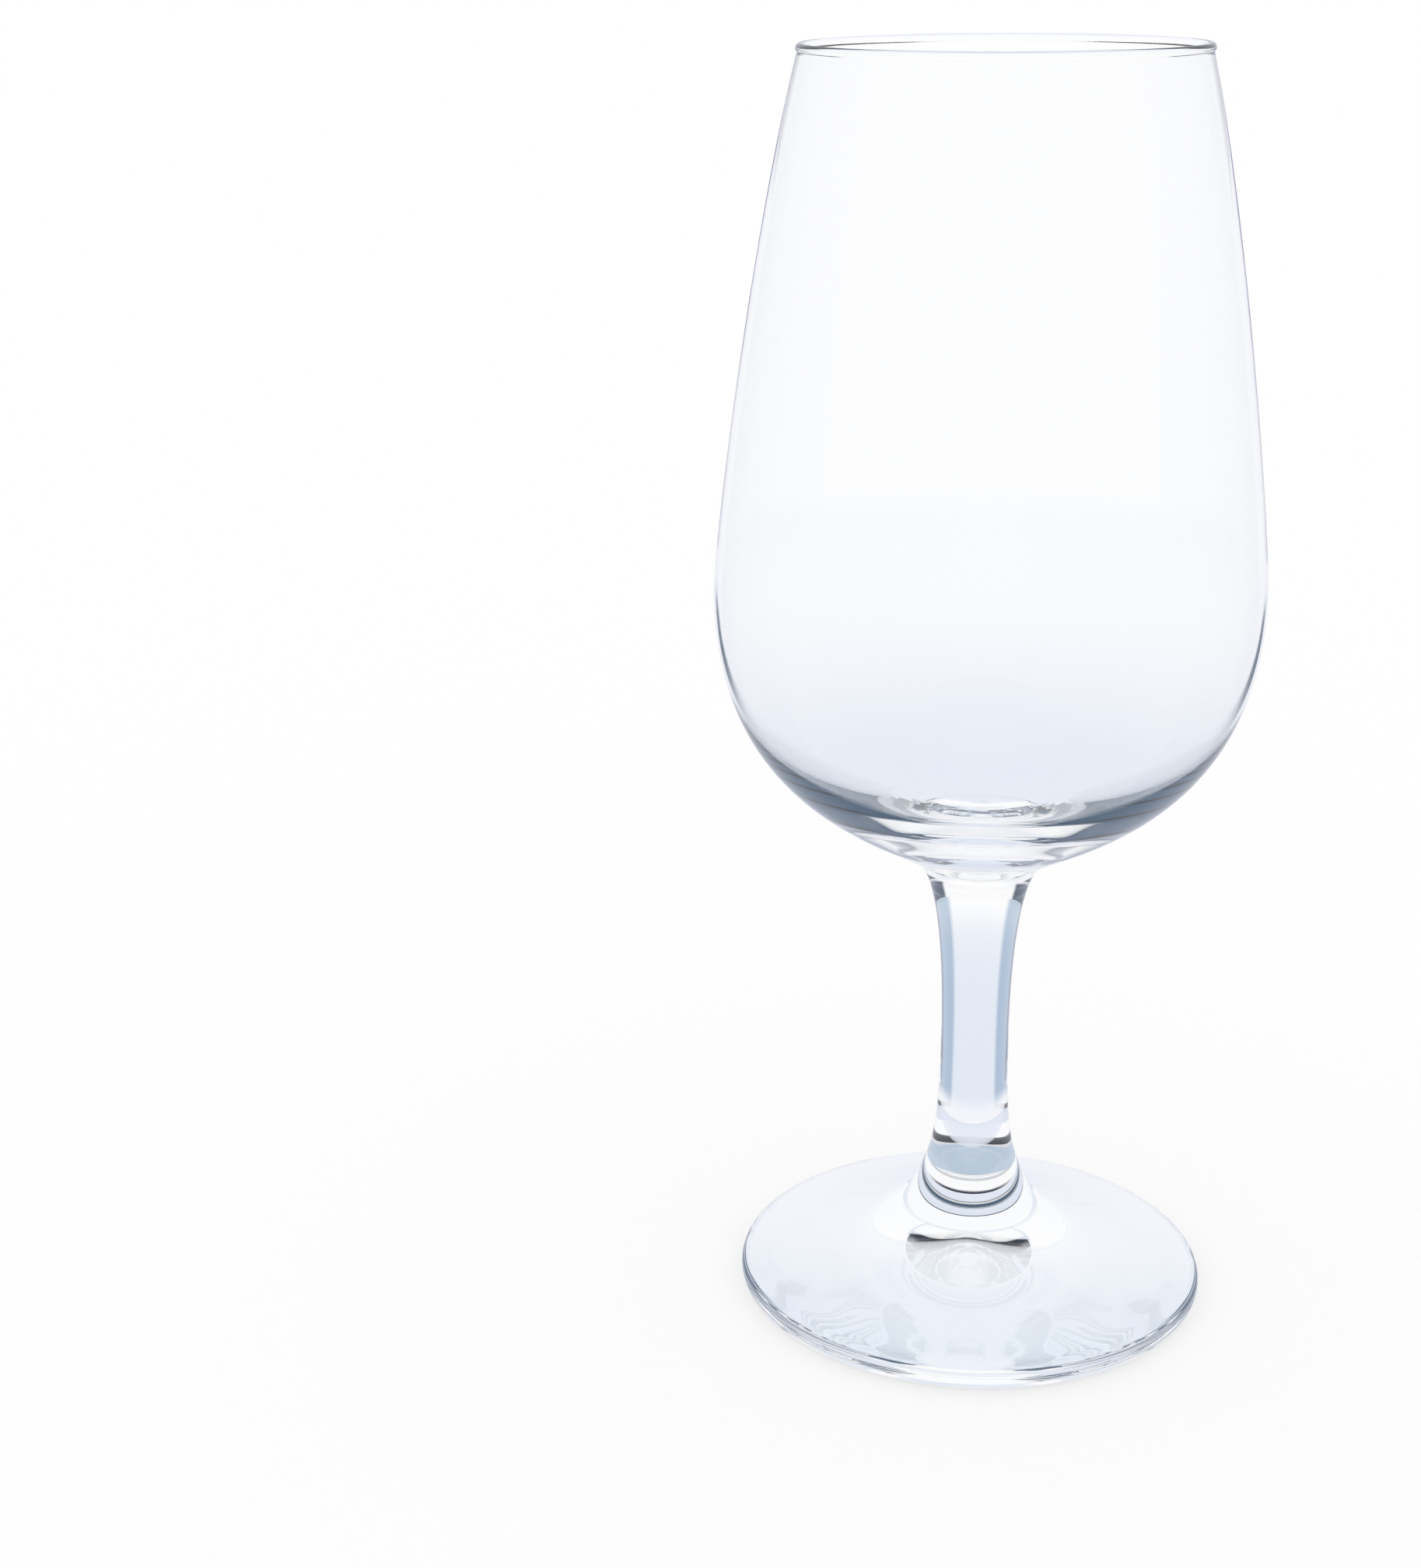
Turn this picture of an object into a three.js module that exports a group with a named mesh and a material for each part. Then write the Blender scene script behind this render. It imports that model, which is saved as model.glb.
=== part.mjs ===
import * as THREE from 'three';

// A stemmed port glass of the tasting kind: a tulip bowl, a drawn stem and a pressed foot, fused end to end.
// Millimetres, +Z up. The glass's axis is Z and the foot's contact ring stands on z = 0.

// Heights, stacked from the table up.
const FOOT_HEIGHT = 10.2; // table to the stem's seat on the foot
const STEM_LENGTH = 47.2; // seat on the foot to the bowl's seat
const BOWL_HEIGHT = 97.6; // bowl's seat to the top of the rim
const BELLY_RISE = 34.6; // bowl's seat to the widest girth
const WAIST_RISE = 23.8; // seat on the foot to the stem's narrowest girth

// Bowl: outer girths, wall and the solid glass under the wine.
const BELLY_RADIUS = 32.85;
const RIM_RADIUS = 23.4; // outermost point of the melted bead
const WALL = 0.85;
const BEAD_PROUD = 0.2; // how far the bead stands out from the wall below it
const BASE_THICKNESS = 6.6; // glass on the axis, from the seat to the inside

// Stem: its two ends and its waist.
const NECK_RADIUS = 7.6; // stem and bowl where they are fused
const WAIST_RADIUS = 4.27;
const COLLAR_RADIUS = 8.7; // stem where it is fused on the foot

// Foot: a shallow cone with a rounded edge, hollowed underneath.
const FOOT_RADIUS = 29.7;
const EDGE_THICKNESS = 2.4;
const SEAT_LEDGE = 0.4; // the foot's seat shows this far round the collar
const RING_WIDTH = 3.0; // flat contact ring
const KICK_DEPTH = 4.4; // how far the underside rises on the axis

// Fairness of the curves. Slope is the outward run for each unit of height, and pull is the share
// of the height between two ends that an end's tangent handle takes.
const SEAT_SLOPE = 1.376;
const SEAT_PULL = 0.153;
const BELLY_LOWER_PULL = 0.728;
const BELLY_UPPER_PULL = 0.109;
const MOUTH_SLOPE = -0.255;
const MOUTH_PULL = 0.291;
const COLLAR_SLOPE = -0.49;
const COLLAR_PULL = 0.291;
const WAIST_LOWER_PULL = 0.671;
const WAIST_UPPER_PULL = 0.77;
const NECK_SLOPE = 0.7;
const NECK_PULL = 0.07;
const FOOT_RIM_SLOPE = -6;
const FOOT_RIM_PULL = 0.15;
const FOOT_CROWN_SLOPE = -1.6;
const FOOT_CROWN_PULL = 0.3;
const WELL_SIDE_PULL = 0.9; // inside of the bowl, down from the belly
const WELL_FLOOR_SHARE = 0.48; // share of the inner radius that the floor's handle takes
const KICK_CROWN_SHARE = 0.2; // share of the kick's radius that its crown's handle takes
const KICK_RIM_SHARE = 0.25; // the same for its rim

// Facets.
const TURN_STEPS = 56;
const CURVE_STEPS = 9;
const BEAD_STEPS = 8;
const EDGE_STEPS = 6;
const KICK_STEPS = 8;

// Levels along the axis.
const stemSeat = FOOT_HEIGHT;
const bowlSeat = stemSeat + STEM_LENGTH;
const rimTop = bowlSeat + BOWL_HEIGHT;

const point = (radius, height) => new THREE.Vector2(radius, height);

// A fair curve between two ends, each given by its radius, height, slope and pull.
function sweep(start, end) {
  const rise = end.height - start.height;
  const startReach = start.pull * rise;
  const endReach = end.pull * rise;
  const curve = new THREE.CubicBezierCurve(
    point(start.radius, start.height),
    point(start.radius + start.slope * startReach, start.height + startReach),
    point(end.radius - end.slope * endReach, end.height - endReach),
    point(end.radius, end.height),
  );
  return curve.getPoints(CURVE_STEPS);
}

// Part of a circle, from one angle up to a larger one.
function arc(centre, radius, from, to, steps) {
  return new THREE.EllipseCurve(centre.x, centre.y, radius, radius, from, to).getPoints(steps);
}

// Turns a closed half outline about Z. Neighbouring stretches share their ends, which are kept once.
function revolve(name, outline) {
  const sameAsLast = (p, i) => i > 0 && p.distanceTo(outline[i - 1]) < 1e-6;
  const points = outline.filter((p, i) => !sameAsLast(p, i));
  const geometry = new THREE.LatheGeometry(points, TURN_STEPS);
  geometry.rotateX(Math.PI / 2);
  const mesh = new THREE.Mesh(geometry, clearGlass());
  mesh.name = name;
  return mesh;
}

function clearGlass() {
  return new THREE.MeshStandardMaterial({
    color: 0xeaf0f7,
    roughness: 0.04,
    metalness: 0,
    transparent: true,
    opacity: 0.35,
  });
}

// The bowl is one shell: the outside swells from the seat to the belly and draws in to a melted bead,
// and the inside runs down a thin wall that thickens into a solid base, as a lens, over the stem.
function makeBowl() {
  const beadRadius = (WALL + BEAD_PROUD) / 2;
  const bead = point(RIM_RADIUS - beadRadius, rimTop - beadRadius);
  const mouthRadius = RIM_RADIUS - BEAD_PROUD;
  const beadStart = -Math.acos((mouthRadius - bead.x) / beadRadius);
  const mouthHeight = bead.y + beadRadius * Math.sin(beadStart);
  const belly = bowlSeat + BELLY_RISE;
  const innerBelly = BELLY_RADIUS - WALL;
  const floor = bowlSeat + BASE_THICKNESS;

  const seatEnd = { radius: NECK_RADIUS, height: bowlSeat, slope: SEAT_SLOPE, pull: SEAT_PULL };
  const bellyLower = { radius: BELLY_RADIUS, height: belly, slope: 0, pull: BELLY_LOWER_PULL };
  const bellyUpper = { ...bellyLower, pull: BELLY_UPPER_PULL };
  const mouth = { radius: mouthRadius, height: mouthHeight, slope: MOUTH_SLOPE, pull: MOUTH_PULL };
  const innerMouth = { ...mouth, radius: mouthRadius - WALL, height: bead.y };
  const well = new THREE.CubicBezierCurve(
    point(innerBelly, belly),
    point(innerBelly, belly - WELL_SIDE_PULL * (belly - floor)),
    point(WELL_FLOOR_SHARE * innerBelly, floor),
    point(0, floor),
  );
  return revolve('bowl', [
    point(0, bowlSeat),
    ...sweep(seatEnd, bellyLower),
    ...sweep(bellyUpper, mouth),
    ...arc(bead, beadRadius, beadStart, Math.PI, BEAD_STEPS),
    ...sweep(innerMouth, { ...bellyUpper, radius: innerBelly }),
    ...well.getPoints(CURVE_STEPS),
  ]);
}

// The stem is solid: a flared collar on the foot, a slim waist, and a flare that carries the bowl.
function makeStem() {
  const waistHeight = stemSeat + WAIST_RISE;
  const collar = { radius: COLLAR_RADIUS, height: stemSeat, slope: COLLAR_SLOPE, pull: COLLAR_PULL };
  const waistLower = { radius: WAIST_RADIUS, height: waistHeight, slope: 0, pull: WAIST_LOWER_PULL };
  const waistUpper = { ...waistLower, pull: WAIST_UPPER_PULL };
  const neck = { radius: NECK_RADIUS, height: bowlSeat, slope: NECK_SLOPE, pull: NECK_PULL };
  return revolve('stem', [
    point(0, stemSeat),
    ...sweep(collar, waistLower),
    ...sweep(waistUpper, neck),
    point(0, bowlSeat),
  ]);
}

// The foot rests on a flat ring. Its underside rises from the ring to a soft crown in the middle, and its
// top falls from the stem's seat to a rounded edge.
function makeFoot() {
  const edgeRadius = EDGE_THICKNESS / 2;
  const edge = point(FOOT_RADIUS - edgeRadius, edgeRadius);
  const ringInner = edge.x - RING_WIDTH;
  const kick = new THREE.CubicBezierCurve(
    point(0, KICK_DEPTH),
    point(KICK_CROWN_SHARE * ringInner, KICK_DEPTH),
    point((1 - KICK_RIM_SHARE) * ringInner, 0),
    point(ringInner, 0),
  );
  const shoulder = { radius: edge.x, height: EDGE_THICKNESS, slope: FOOT_RIM_SLOPE, pull: FOOT_RIM_PULL };
  const crown = {
    radius: COLLAR_RADIUS + SEAT_LEDGE,
    height: stemSeat,
    slope: FOOT_CROWN_SLOPE,
    pull: FOOT_CROWN_PULL,
  };
  return revolve('foot', [
    ...kick.getPoints(KICK_STEPS),
    ...arc(edge, edgeRadius, -Math.PI / 2, Math.PI / 2, EDGE_STEPS),
    ...sweep(shoulder, crown),
    point(0, stemSeat),
  ]);
}

const portGlass = new THREE.Group();
portGlass.add(makeFoot(), makeStem(), makeBowl());

export default portGlass;
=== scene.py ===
import math
from functools import reduce

import bmesh
import bpy
from mathutils import Matrix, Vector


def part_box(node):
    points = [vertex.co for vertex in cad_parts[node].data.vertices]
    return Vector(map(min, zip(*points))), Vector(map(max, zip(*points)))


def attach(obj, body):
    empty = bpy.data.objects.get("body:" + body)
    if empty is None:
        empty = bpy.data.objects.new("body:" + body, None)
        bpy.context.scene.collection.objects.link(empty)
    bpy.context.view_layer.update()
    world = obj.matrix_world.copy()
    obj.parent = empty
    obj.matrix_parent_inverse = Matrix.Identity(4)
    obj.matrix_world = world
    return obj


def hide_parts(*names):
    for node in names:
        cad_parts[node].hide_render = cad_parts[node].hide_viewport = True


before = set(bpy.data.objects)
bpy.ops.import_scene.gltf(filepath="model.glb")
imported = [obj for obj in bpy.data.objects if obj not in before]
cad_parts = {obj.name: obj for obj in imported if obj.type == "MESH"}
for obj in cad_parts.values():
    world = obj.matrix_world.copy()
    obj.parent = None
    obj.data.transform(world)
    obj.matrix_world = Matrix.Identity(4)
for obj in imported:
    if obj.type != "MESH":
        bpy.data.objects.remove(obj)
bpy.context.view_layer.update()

# A stemmed port glass of the tasting kind: blown bowl, drawn stem and pressed foot, fused end to end.
# Metres, +Z up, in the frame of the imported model. Radii and heights that the solids show come from the
# frame, and the rest are named here.

MM = 0.001
RIGHT_ANGLE = 90

# Camera: the photograph's frame in pixels, the focal length in the same pixels, and the place and turn.
IMAGE_WIDTH = 1827
IMAGE_HEIGHT = 2016
FOCAL_PIXELS = 3255
SENSOR = 36.0
CAMERA_BACK = 296.6 * MM
CAMERA_HEIGHT = 167.9 * MM
CAMERA_PITCH = math.radians(18.81)
CAMERA_YAW = math.radians(6.47)
CAMERA_ROLL = math.radians(-0.39)
CAMERA_CLIP = 10 * MM

# Levels and radii that the frame gives.
foot_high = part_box("foot")[1]
stem_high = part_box("stem")[1]
bowl_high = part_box("bowl")[1]
STEM_SEAT = foot_high[2]
BOWL_SEAT = stem_high[2]
RIM_TOP = bowl_high[2]
FOOT_RADIUS = foot_high[0]
COLLAR_RADIUS = stem_high[0]
BELLY_RADIUS = bowl_high[0]

# Glass sizes that the solids' boxes don't give.
RIM_RADIUS = 23.4 * MM
WALL = 0.85 * MM
BEAD_PROUD = 0.2 * MM
BASE_THICKNESS = 6.6 * MM
BELLY_RISE = 34.6 * MM
WAIST_RISE = 23.8 * MM
NECK_RADIUS = 7.6 * MM
WAIST_RADIUS = 4.27 * MM
EDGE_THICKNESS = 2.4 * MM
SEAT_LEDGE = 0.4 * MM
RING_WIDTH = 3.0 * MM
KICK_DEPTH = 4.4 * MM

# Fairness of the curves: slope is the outward run for each unit of height, and pull is the share of the
# height between two ends that an end's tangent handle takes.
SEAT_SLOPE, SEAT_PULL = 1.376, 0.153
BELLY_LOWER_PULL, BELLY_UPPER_PULL = 0.728, 0.109
MOUTH_SLOPE, MOUTH_PULL = -0.255, 0.291
COLLAR_SLOPE, COLLAR_PULL = -0.49, 0.291
WAIST_LOWER_PULL, WAIST_UPPER_PULL = 0.671, 0.77
NECK_SLOPE, NECK_PULL = 0.7, 0.07
FOOT_RIM_SLOPE, FOOT_RIM_PULL = -6.0, 0.15
FOOT_CROWN_SLOPE, FOOT_CROWN_PULL = -1.6, 0.3
WELL_SIDE_PULL = 0.9
WELL_FLOOR_SHARE = 0.48
KICK_CROWN_SHARE = 0.2
KICK_RIM_SHARE = 0.25

# Fineness of the meshes.
TURN_STEPS = 192
CURVE_STEPS = 48
WELL_STEPS = 96
ARC_STEPS = 16
DISC_STEPS = 2
CREASE = math.radians(24)
SAME_POINT = 1e-8
ON_AXIS = 1e-7

# Clear glass with faint waves: their stretch along X, Y and Z, their cells per metre and their height.
GLASS_TINT = (0.995, 0.997, 1.0, 1)
GLASS_IOR = 1.52
BLOWN_WAVES = ((1, 1, 0.6), 60, 0.012 * MM)
DRAWN_WAVES = ((1, 1, 0.15), 120, 0.008 * MM)
PRESSED_WAVES = ((1, 1, 1), 80, 0.004 * MM)
WAVE_DETAIL = 1.5

# Low turning rings on the bowl's inner floor. They fade out with the radius, and with the rise from that
# floor, so that the outside has none.
MARK_CELL = 1.0 * MM
MARK_DRIFT = 0.1
MARK_DEPTH = 0.1 * MM
MARK_REACH = (9.5 * MM, 12.5 * MM)
MARK_LOW = (-0.7 * MM, -0.2 * MM)
MARK_HIGH = (2.0 * MM, 3.0 * MM)

# Material slots of a piece: its surface, and the joints where it is fused to the next piece.
SURFACE, JOINT = 0, 1


def bezier(a, b, c, d, steps):
    points = []
    for i in range(steps + 1):
        t = i / steps
        s = 1 - t
        points.append(tuple(
            s ** 3 * p + 3 * s * s * t * q + 3 * s * t * t * u + t ** 3 * v
            for p, q, u, v in zip(a, b, c, d)
        ))
    return points


def sweep(start, end):
    """A fair curve between two ends, each given as radius, height, slope and pull."""
    rise = end[1] - start[1]
    reach, back = start[3] * rise, end[3] * rise
    return bezier(
        start[:2],
        (start[0] + start[2] * reach, start[1] + reach),
        (end[0] - end[2] * back, end[1] - back),
        end[:2],
        CURVE_STEPS,
    )


def arc(centre, radius, first, last):
    angles = [first + (last - first) * i / ARC_STEPS for i in range(ARC_STEPS + 1)]
    return [(centre[0] + radius * math.cos(a), centre[1] + radius * math.sin(a)) for a in angles]


def disc(height, inner, outer):
    """A flat run from one radius to another."""
    return [(inner + (outer - inner) * i / DISC_STEPS, height) for i in range(DISC_STEPS + 1)]


def add_ring(bm, radius, height):
    """One turn of vertices, or a single one on the axis."""
    if radius < ON_AXIS:
        return [bm.verts.new((0, 0, height))]
    angles = [2 * math.pi * i / TURN_STEPS for i in range(TURN_STEPS)]
    return [bm.verts.new((radius * math.cos(a), radius * math.sin(a), height)) for a in angles]


def revolve(name, stretches, materials):
    """A closed mesh turned about Z from stretches of (radius, height) points, each with a material slot."""
    profile = []
    slots = []
    for points, slot in stretches:
        for point in points:
            if profile and math.dist(point, profile[-1]) < SAME_POINT:
                continue
            if profile:
                slots.append(slot)
            profile.append(point)
    bm = bmesh.new()
    rings = [add_ring(bm, *point) for point in profile]
    for low, high, slot in zip(rings, rings[1:], slots):
        for i in range(TURN_STEPS):
            j = (i + 1) % TURN_STEPS
            corners = [low[i % len(low)], low[j % len(low)], high[j % len(high)], high[i % len(high)]]
            face = bm.faces.new(list(dict.fromkeys(corners)))
            face.material_index = slot
            face.smooth = True
    mesh = bpy.data.meshes.new(name)
    bm.to_mesh(mesh)
    bm.free()
    mesh.set_sharp_from_angle(angle=CREASE)
    for material in materials:
        mesh.materials.append(material)
    piece = bpy.data.objects.new(name, mesh)
    bpy.context.collection.objects.link(piece)
    return piece


class Nodes:
    """Short calls for the nodes of one tree. Angles are in degrees."""

    def __init__(self, tree):
        self.tree = tree
        tree.nodes.clear()

    def add(self, kind, **inputs):
        node = self.tree.nodes.new(kind)
        for name, value in inputs.items():
            self.put(node.inputs[name.replace("_", " ")], value)
        return node

    def put(self, socket, value):
        if isinstance(value, bpy.types.NodeSocket):
            self.tree.links.new(value, socket)
        else:
            socket.default_value = value

    def math(self, operation, *values):
        node = self.tree.nodes.new("ShaderNodeMath")
        node.operation = operation
        for socket, value in zip(node.inputs, values):
            self.put(socket, value)
        return node.outputs[0]

    def product(self, *values):
        return reduce(lambda first, second: self.math("MULTIPLY", first, second), values)

    def step(self, value, low, high):
        """A smooth rise from nought at low to one at high."""
        node = self.add("ShaderNodeMapRange", Value=value, From_Min=low, From_Max=high)
        node.interpolation_type = "SMOOTHSTEP"
        return node.outputs["Result"]

    def fade(self, value, low, high):
        """A smooth fall from one at low to nought at high."""
        return self.math("SUBTRACT", 1.0, self.step(value, low, high))

    def within(self, count, first, last):
        """One where a whole number lies from first to last, and nought elsewhere."""
        return self.math("COMPARE", count, (first + last) / 2, (last - first + 1) / 2)

    def mix(self, factor, first, second, blend="MIX"):
        node = self.tree.nodes.new("ShaderNodeMix")
        node.data_type = "RGBA"
        node.blend_type = blend
        self.put(node.inputs["Factor"], factor)
        self.put(node.inputs["A"], first)
        self.put(node.inputs["B"], second)
        return node.outputs["Result"]

    def shade(self, factor, first, second):
        node = self.tree.nodes.new("ShaderNodeMixShader")
        for socket, value in zip(node.inputs, (factor, first, second)):
            self.put(socket, value)
        return node.outputs[0]

    def split(self, vector):
        outputs = self.add("ShaderNodeSeparateXYZ", Vector=vector).outputs
        return outputs["X"], outputs["Y"], outputs["Z"]

    def length(self, vector):
        node = self.add("ShaderNodeVectorMath", Vector=vector)
        node.operation = "LENGTH"
        return node.outputs["Value"]

    def turn(self, vector):
        """The angle of a vector's plan from the Y axis, either way, up to a right angle."""
        x, y, _ = self.split(vector)
        angle = self.math("ARCTAN2", self.math("ABSOLUTE", x), self.math("ABSOLUTE", y))
        return self.math("DEGREES", angle)

    def swing(self, vector):
        """The angle of a vector's plan from +Y, either way, up to a half turn."""
        x, y, _ = self.split(vector)
        return self.math("DEGREES", self.math("ARCTAN2", self.math("ABSOLUTE", x), y))

    def lift(self, vector):
        """The elevation of a direction."""
        return self.math("DEGREES", self.math("ARCSINE", self.split(vector)[2]))

    def ramp(self, angle, stops):
        """Colours by an angle up to a right angle, from (angle, colour) stops."""
        node = self.add("ShaderNodeValToRGB", Fac=self.math("DIVIDE", angle, RIGHT_ANGLE))
        elements = node.color_ramp.elements
        for index, (stop, colour) in enumerate(stops):
            element = elements[index] if index < len(elements) else elements.new(1.0)
            element.position = stop / RIGHT_ANGLE
            element.color = colour
        return node.outputs["Color"]


def new_material(name):
    material = bpy.data.materials.new(name)
    material.use_nodes = True
    return material, Nodes(material.node_tree)


def fused_joint():
    """Where two pieces are fused there is no surface inside the glass, so light goes straight on."""
    material, n = new_material("fused_joint")
    clear = n.add("ShaderNodeBsdfTransparent")
    n.add("ShaderNodeOutputMaterial", Surface=clear.outputs[0])
    return material


def glass(name, waves, marked=False):
    """Clear glass with the faint waves that its making leaves."""
    stretch, cells, height = waves
    material, n = new_material(name)
    place = n.add("ShaderNodeTexCoord").outputs["Object"]
    stretched = n.add("ShaderNodeMapping", Vector=place, Scale=stretch).outputs["Vector"]
    noise = n.add("ShaderNodeTexNoise", Vector=stretched, Scale=cells, Detail=WAVE_DETAIL)
    relief = n.math("MULTIPLY", noise.outputs["Fac"], height)
    if marked:
        relief = n.math("ADD", relief, turning_marks(n, place))
    bump = n.add("ShaderNodeBump", Strength=1.0, Distance=1.0, Height=relief)
    shader = n.add("ShaderNodeBsdfPrincipled", Normal=bump.outputs["Normal"])
    shader.inputs["Base Color"].default_value = GLASS_TINT
    shader.inputs["Transmission Weight"].default_value = 1.0
    shader.inputs["IOR"].default_value = GLASS_IOR
    shader.inputs["Roughness"].default_value = 0.0
    n.add("ShaderNodeOutputMaterial", Surface=shader.outputs[0])
    return material


def turning_marks(n, place):
    """Rings round the axis on the inside of the base, each a little uneven round its turn."""
    x, y, z = n.split(place)
    radius = n.math("SQRT", n.math("ADD", n.product(x, x), n.product(y, y)))
    spread = n.add("ShaderNodeCombineXYZ", X=radius, Y=n.product(x, MARK_DRIFT), Z=n.product(y, MARK_DRIFT))
    rings = n.add("ShaderNodeTexNoise", Vector=spread.outputs[0], Scale=1 / MARK_CELL, Detail=0.0)
    rise = n.math("SUBTRACT", z, BOWL_SEAT + BASE_THICKNESS)
    inside = n.math("SUBTRACT", n.step(rise, *MARK_LOW), n.step(rise, *MARK_HIGH))
    return n.product(rings.outputs["Fac"], inside, n.fade(radius, *MARK_REACH), MARK_DEPTH)


def make_bowl(joint):
    bead_radius = (WALL + BEAD_PROUD) / 2
    bead = (RIM_RADIUS - bead_radius, RIM_TOP - bead_radius)
    mouth_radius = RIM_RADIUS - BEAD_PROUD
    bead_start = -math.acos((mouth_radius - bead[0]) / bead_radius)
    mouth_height = bead[1] + bead_radius * math.sin(bead_start)
    belly = BOWL_SEAT + BELLY_RISE
    inner_belly = BELLY_RADIUS - WALL
    floor = BOWL_SEAT + BASE_THICKNESS

    seat = (NECK_RADIUS, BOWL_SEAT, SEAT_SLOPE, SEAT_PULL)
    belly_lower = (BELLY_RADIUS, belly, 0, BELLY_LOWER_PULL)
    belly_upper = (BELLY_RADIUS, belly, 0, BELLY_UPPER_PULL)
    mouth = (mouth_radius, mouth_height, MOUTH_SLOPE, MOUTH_PULL)
    inner_mouth = (mouth_radius - WALL, bead[1], MOUTH_SLOPE, MOUTH_PULL)
    inner_upper = (inner_belly, belly, 0, BELLY_UPPER_PULL)
    well = bezier(
        (inner_belly, belly),
        (inner_belly, belly - WELL_SIDE_PULL * (belly - floor)),
        (WELL_FLOOR_SHARE * inner_belly, floor),
        (0, floor),
        WELL_STEPS,
    )
    return revolve("glass_bowl", [
        (disc(BOWL_SEAT, 0, NECK_RADIUS), JOINT),
        (sweep(seat, belly_lower), SURFACE),
        (sweep(belly_upper, mouth), SURFACE),
        (arc(bead, bead_radius, bead_start, math.pi), SURFACE),
        (sweep(inner_mouth, inner_upper), SURFACE),
        (well, SURFACE),
    ], (glass("blown_glass", BLOWN_WAVES, marked=True), joint))


def make_stem(joint):
    waist = STEM_SEAT + WAIST_RISE
    collar = (COLLAR_RADIUS, STEM_SEAT, COLLAR_SLOPE, COLLAR_PULL)
    waist_lower = (WAIST_RADIUS, waist, 0, WAIST_LOWER_PULL)
    waist_upper = (WAIST_RADIUS, waist, 0, WAIST_UPPER_PULL)
    neck = (NECK_RADIUS, BOWL_SEAT, NECK_SLOPE, NECK_PULL)
    return revolve("glass_stem", [
        (disc(STEM_SEAT, 0, COLLAR_RADIUS), JOINT),
        (sweep(collar, waist_lower), SURFACE),
        (sweep(waist_upper, neck), SURFACE),
        (disc(BOWL_SEAT, NECK_RADIUS, 0), JOINT),
    ], (glass("drawn_glass", DRAWN_WAVES), joint))


def make_foot(joint):
    edge_radius = EDGE_THICKNESS / 2
    edge = (FOOT_RADIUS - edge_radius, edge_radius)
    ring_inner = edge[0] - RING_WIDTH
    crown_radius = COLLAR_RADIUS + SEAT_LEDGE
    shoulder = (edge[0], EDGE_THICKNESS, FOOT_RIM_SLOPE, FOOT_RIM_PULL)
    crown = (crown_radius, STEM_SEAT, FOOT_CROWN_SLOPE, FOOT_CROWN_PULL)
    kick = bezier(
        (0, KICK_DEPTH),
        (KICK_CROWN_SHARE * ring_inner, KICK_DEPTH),
        ((1 - KICK_RIM_SHARE) * ring_inner, 0),
        (ring_inner, 0),
        CURVE_STEPS,
    )
    return revolve("glass_foot", [
        (kick, SURFACE),
        (disc(0, ring_inner, edge[0]), SURFACE),
        (arc(edge, edge_radius, -math.pi / 2, math.pi / 2), SURFACE),
        (sweep(shoulder, crown), SURFACE),
        (disc(STEM_SEAT, crown_radius, COLLAR_RADIUS), SURFACE),
        (disc(STEM_SEAT, COLLAR_RADIUS, 0), JOINT),
    ], (glass("pressed_glass", PRESSED_WAVES), joint))


joint = fused_joint()
for piece, node in ((make_bowl(joint), "bowl"), (make_stem(joint), "stem"), (make_foot(joint), "foot")):
    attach(piece, "root")
    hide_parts(node)


# Studio. The eye and the floor's own light see plain white. What the glass bends or mirrors into view is a
# set, in the world and in the floor: white ahead and behind, with the parts below. Some parts show only to
# light that has met so many surfaces of the glass. The horizon band, the dim reflection behind, the bars,
# the strip and the dark blue-grey for light held in thick glass are painted shade, which only the glass
# shows, as its dark lines and crescents. A pair of values is where a fade starts and ends, or the least and
# greatest count. Swing is an angle from straight ahead, turn the same from the nearer of ahead and behind,
# and lift an angle above the horizon.

WHITE = (1.0, 1.0, 1.0, 1)
GLOSS = (0.80, 0.82, 0.91, 1)  # what the outside of the glass mirrors

# Flags: pale, blue-grey and slate panels to the sides, by turn.
PALE = (0.72, 0.79, 0.87, 1)
BLUE_GREY = (0.50, 0.60, 0.71, 1)
SLATE = (0.08, 0.10, 0.15, 1)
WALL_FLAGS = ((0, WHITE), (31, WHITE), (35, SLATE), (70, SLATE), (78, PALE), (90, PALE))
FLAG_SURFACES = (0, 2)
FLAG_LIFT = (16, 24)
FLOOR_FLAGS = (
    (0, WHITE), (26, WHITE), (32, BLUE_GREY), (60, BLUE_GREY),
    (68, SLATE), (74, SLATE), (82, PALE), (90, PALE),
)

# Sheet: the floor, darker before the axis than behind it near the foot, and paler far off.
SHEET_FRONT = (0.80, 0.86, 0.93, 1)
SHEET_BACK = (0.925, 0.935, 0.98, 1)
SHEET_MIDDLE = (0.76, 0.81, 0.90, 1)
SHEET_FAR = (0.965, 0.972, 0.995, 1)
FRONT_TO_BACK = (-26 * MM, 22 * MM)
NEAR_TO_MIDDLE = (36 * MM, 48 * MM)
MIDDLE_TO_FAR = (60 * MM, 380 * MM)
FAR_TO_WHITE = (440 * MM, 490 * MM)
KICK_SHADE = (8 * MM, 14 * MM)
ACROSS_SURFACES = 4  # in and out of both sides of the bowl

# Horizon band: painted shade, dark and low ahead, by lift and turn, that only light which has met three
# surfaces sees.
PAINTED_HORIZON_BAND = (0.015, 0.015, 0.045, 1)
HORIZON_STOPS = ((0, PAINTED_HORIZON_BAND), (4, PAINTED_HORIZON_BAND), (8, WHITE), (90, WHITE))
HORIZON_TURN = (10.8, 30.6)
HORIZON_SURFACES = 3

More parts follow.
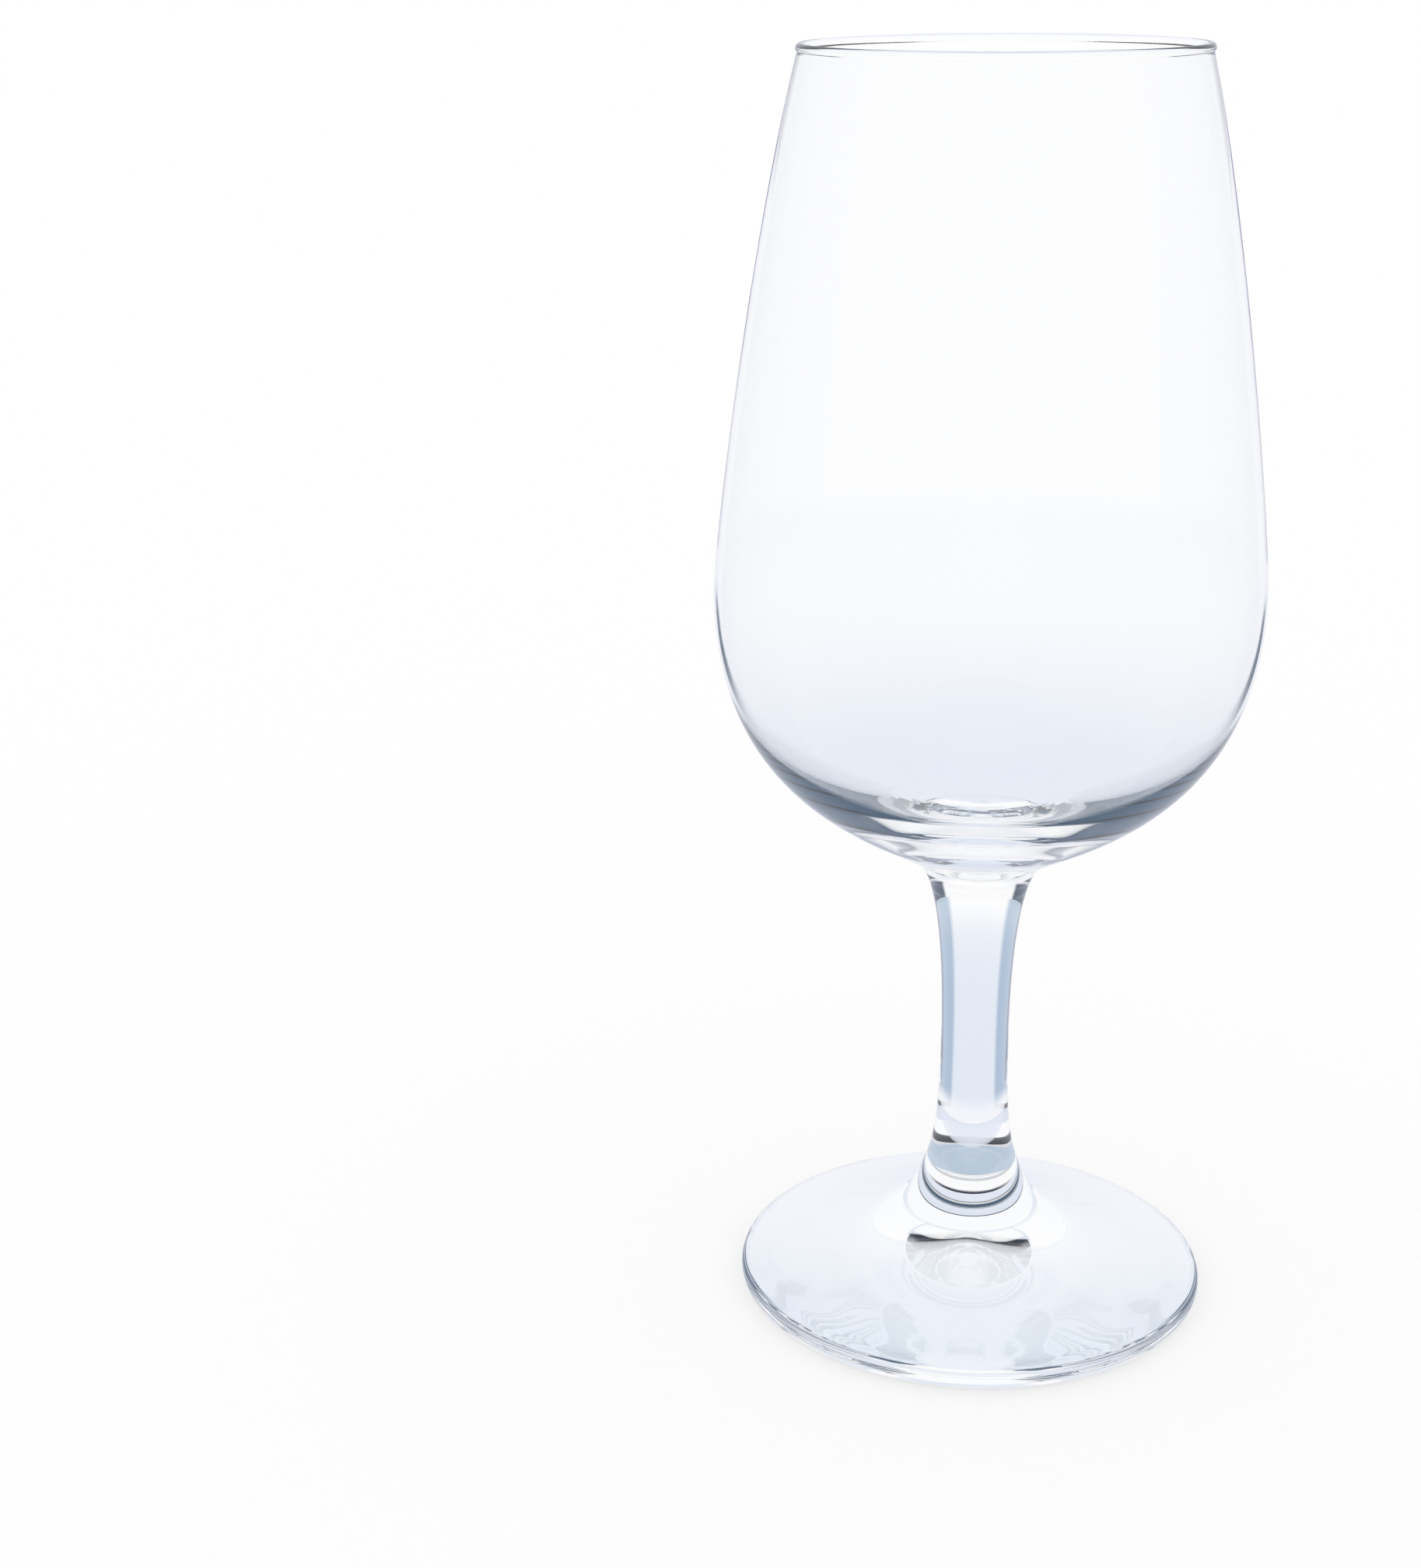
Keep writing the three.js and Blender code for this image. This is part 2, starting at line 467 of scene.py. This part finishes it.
# Dim reflection behind: painted shade, for light that is reflected twice.
PAINTED_REFLECTION = (0.012, 0.014, 0.022, 1)
PAINTED_REFLECTION_SWING = (86, 94)
PAINTED_REFLECTION_SURFACES = (3, 5)
PAINTED_REFLECTION_FLOOR_SWING = (99, 106)
PAINTED_REFLECTION_FLOOR_REACH = (60 * MM, 80 * MM)
PAINTED_REFLECTION_FLOOR_SURFACES = (0, 5)

# Bars: painted shade, a slim dark one on the floor to each side ahead, for light that leaves along the side
# of the bowl; the eye sees plain paper there.
PAINTED_BAR = (0.02, 0.06, 0.12, 1)
BAR_SLANT = 12
BAR_INNER = (70 * MM, 79 * MM)
BAR_OUTER = (100 * MM, 120 * MM)
BAR_NEAR = (60 * MM, 240 * MM)
BAR_FAR = (330 * MM, 420 * MM)
ALONGSIDE = (9 * MM, 15 * MM)

# Strip: a painted dark reflection, far ahead on the floor, for light that only glances off the side of the
# bowl.
PAINTED_STRIP = (0.20, 0.20, 0.42, 1)
STRIP_SWING = (8, 20)
STRIP_REACH = (500 * MM, 1000 * MM)

# Trapped light: painted shade, a dark blue-grey after many surfaces to the sides, and after fewer where it
# turns back.
TRAPPED_SHADE = (0.03, 0.075, 0.135, 1)
SIDE_SURFACES = (6.2, 10.5)
SIDE_SWING = (29, 41)
SIDE_REACH = (45 * MM, 75 * MM)
BACK_SURFACES = (5.8, 7.8)
BACK_SWING = (75, 95)
BACK_LIFT = (58, 66)

# Floor: its half side, its drop below the foot, and the share of it that is white to the eye in any light.
FLOOR_HALF = 3.0
FLOOR_DROP = 0.05 * MM
PAPER_GLOW = 0.6

LIGHT_BOUNCES = 64


def trapped_light_shade(n, met, swing, side, back):
    """How far the painted shade for light held in thick glass shows, with weights for its two kinds."""
    side = n.product(side, n.step(swing, *SIDE_SWING), n.step(met, *SIDE_SURFACES))
    back = n.product(back, n.step(swing, *BACK_SWING), n.step(met, *BACK_SURFACES))
    return n.math("MAXIMUM", side, back)


def reflected_twice(n, path):
    return n.math("GREATER_THAN", path["Glossy Depth"], 1.5)


def make_world():
    world = bpy.data.worlds.new("studio")
    bpy.context.scene.world = world
    world.use_nodes = True
    world.cycles.sampling_method = "NONE"
    n = Nodes(world.node_tree)
    way = n.add("ShaderNodeTexCoord").outputs["Generated"]
    path = n.add("ShaderNodeLightPath").outputs
    lift, turn, swing = n.lift(way), n.turn(way), n.swing(way)
    met = n.math("SUBTRACT", path["Ray Depth"], 1.0)  # the count is one higher here than on the floor
    twice = reflected_twice(n, path)

    flags = n.mix(n.step(lift, *FLAG_LIFT), n.ramp(turn, WALL_FLAGS), WHITE)
    wall = n.mix(n.within(met, *FLAG_SURFACES), WHITE, flags)
    ahead = n.math("GREATER_THAN", n.split(way)[1], 0.0)
    # Painted shade: a dark band low ahead, for light that has met three surfaces.
    front = n.math("MAXIMUM", n.math("SUBTRACT", ahead, n.step(turn, *HORIZON_TURN)), 0.0)
    band = n.product(n.within(met, HORIZON_SURFACES, HORIZON_SURFACES), front)
    wall = n.mix(band, wall, n.ramp(lift, HORIZON_STOPS))
    # Painted dark reflection behind, for light that is reflected twice.
    behind = n.product(n.within(met, *PAINTED_REFLECTION_SURFACES), n.step(swing, *PAINTED_REFLECTION_SWING))
    wall = n.mix(n.product(behind, twice), wall, PAINTED_REFLECTION)

    seen = n.mix(path["Is Transmission Ray"], GLOSS, wall)
    # Painted shade, dark blue-grey, for light held in thick glass.
    low = n.product(twice, n.fade(lift, *BACK_LIFT))
    seen = n.mix(trapped_light_shade(n, met, swing, 1.0, low), seen, TRAPPED_SHADE)
    from_floor = n.math("GREATER_THAN", path["Diffuse Depth"], 0.5)
    plain = n.math("MAXIMUM", path["Is Camera Ray"], from_floor)
    light = n.add("ShaderNodeBackground", Color=n.mix(plain, seen, WHITE))
    n.add("ShaderNodeOutputWorld", Surface=light.outputs[0])


def leaving_point(n, path, away):
    """Where light that meets the floor left the glass: the height, and if it was at the belly's radius, how
    far past the axis in the light's own direction, which is little along the side and most at the front."""
    facing = n.add("ShaderNodeLayerWeight", Blend=0.5).outputs["Facing"]
    slant = n.math("SUBTRACT", 1.0, facing)
    height = n.product(path["Ray Length"], slant)
    lean = n.math("SQRT", n.math("SUBTRACT", 1.0, n.product(slant, slant)))
    run = n.product(path["Ray Length"], lean)
    excess = n.math("SUBTRACT", n.product(away, away), n.product(run, run))
    excess = n.math("SUBTRACT", excess, BELLY_RADIUS ** 2)
    return height, n.math("DIVIDE", excess, n.product(run, 2.0))


def seen_in_floor(n, path):
    """The set as bent and mirrored light sees it in the floor."""
    place = n.add("ShaderNodeNewGeometry").outputs["Position"]
    away = n.length(place)
    ahead = n.split(place)[1]
    swing = n.swing(place)
    met = path["Ray Depth"]
    twice = reflected_twice(n, path)
    left_at, left_past = leaving_point(n, path, away)

    # Sheet and flags, of which the flags show to the stem and the foot.
    sheet = n.mix(n.step(away, *MIDDLE_TO_FAR), SHEET_MIDDLE, SHEET_FAR)
    sheet = n.mix(n.step(away, *FAR_TO_WHITE), sheet, WHITE)
    flags = n.mix(1.0, sheet, n.ramp(n.turn(place), FLOOR_FLAGS), "MULTIPLY")
    flags = n.mix(n.math("LESS_THAN", left_at, BOWL_SEAT), sheet, flags)
    near = n.mix(n.step(ahead, *FRONT_TO_BACK), SHEET_FRONT, SHEET_BACK)
    card = n.mix(n.step(away, *NEAR_TO_MIDDLE), near, flags)
    across = n.within(met, ACROSS_SURFACES, ACROSS_SURFACES)
    turned = n.math("SUBTRACT", n.math("GREATER_THAN", met, 2.5), across)
    card = n.mix(across, card, sheet)
    card = n.mix(turned, card, n.mix(n.math("GREATER_THAN", ahead, 0.0), WHITE, sheet))

    # Painted dark reflection behind, and painted shade under the kick.
    behind = n.product(n.step(swing, *PAINTED_REFLECTION_FLOOR_SWING), n.step(away, *PAINTED_REFLECTION_FLOOR_REACH))
    card = n.mix(n.product(behind, twice, n.within(met, *PAINTED_REFLECTION_FLOOR_SURFACES)), card, PAINTED_REFLECTION)
    card = n.mix(n.step(away, *KICK_SHADE), n.mix(turned, card, BLUE_GREY), card)

    # Painted bars and strip: light that glanced off the bowl met one surface, and light turned in its wall
    # three.
    along = n.fade(left_past, *ALONGSIDE)
    odd = n.within(n.math("ABSOLUTE", n.math("SUBTRACT", met, 2.0)), 1, 1)
    once = n.product(odd, n.math("GREATER_THAN", left_at, BOWL_SEAT), along)
    skew = n.math("RADIANS", n.math("SUBTRACT", swing, BAR_SLANT))
    aside = n.product(away, n.math("SINE", skew))
    beside = n.product(n.step(aside, *BAR_INNER), n.fade(aside, *BAR_OUTER))
    ends = n.product(n.step(ahead, *BAR_NEAR), n.fade(away, *BAR_FAR))
    strip = n.product(n.fade(swing, *STRIP_SWING), n.step(away, *STRIP_REACH), along)
    seen = n.mix(path["Is Transmission Ray"], n.mix(strip, GLOSS, PAINTED_STRIP), card)
    seen = n.mix(n.product(once, beside, ends), seen, PAINTED_BAR)

    # Painted shade, dark blue-grey, for light held in thick glass.
    return n.mix(trapped_light_shade(n, met, swing, n.step(away, *SIDE_REACH), twice), seen, TRAPPED_SHADE)


def make_floor():
    bpy.ops.mesh.primitive_plane_add(size=2 * FLOOR_HALF, location=(0, 0, -FLOOR_DROP))
    floor = bpy.context.object
    floor.name = "floor"
    material, n = new_material("floor_white")
    path = n.add("ShaderNodeLightPath").outputs
    paper = n.add("ShaderNodeBsdfDiffuse", Color=WHITE)
    lamp = n.add("ShaderNodeEmission", Color=WHITE)
    lit = n.shade(n.product(path["Is Camera Ray"], PAPER_GLOW), paper.outputs[0], lamp.outputs[0])
    glow = n.add("ShaderNodeEmission", Color=seen_in_floor(n, path))
    bent = n.math("MAXIMUM", path["Is Transmission Ray"], path["Is Glossy Ray"])
    n.add("ShaderNodeOutputMaterial", Surface=n.shade(bent, lit, glow.outputs[0]))
    floor.data.materials.append(material)


def make_camera():
    data = bpy.data.cameras.new("camera")
    data.sensor_fit = "AUTO"
    data.sensor_width = SENSOR
    data.lens = FOCAL_PIXELS / max(IMAGE_WIDTH, IMAGE_HEIGHT) * SENSOR
    data.clip_start = CAMERA_CLIP
    camera = bpy.data.objects.new("camera", data)
    bpy.context.collection.objects.link(camera)
    turn = (
        Matrix.Rotation(CAMERA_YAW, 4, "Z")
        @ Matrix.Rotation(math.pi / 2 - CAMERA_PITCH, 4, "X")
        @ Matrix.Rotation(CAMERA_ROLL, 4, "Z")
    )
    camera.matrix_world = Matrix.Translation((0, -CAMERA_BACK, CAMERA_HEIGHT)) @ turn
    bpy.context.scene.camera = camera


make_world()
make_floor()
make_camera()

scene = bpy.context.scene
scene.view_settings.view_transform = "Standard"
scene.cycles.max_bounces = LIGHT_BOUNCES
scene.cycles.transmission_bounces = LIGHT_BOUNCES
scene.cycles.glossy_bounces = LIGHT_BOUNCES
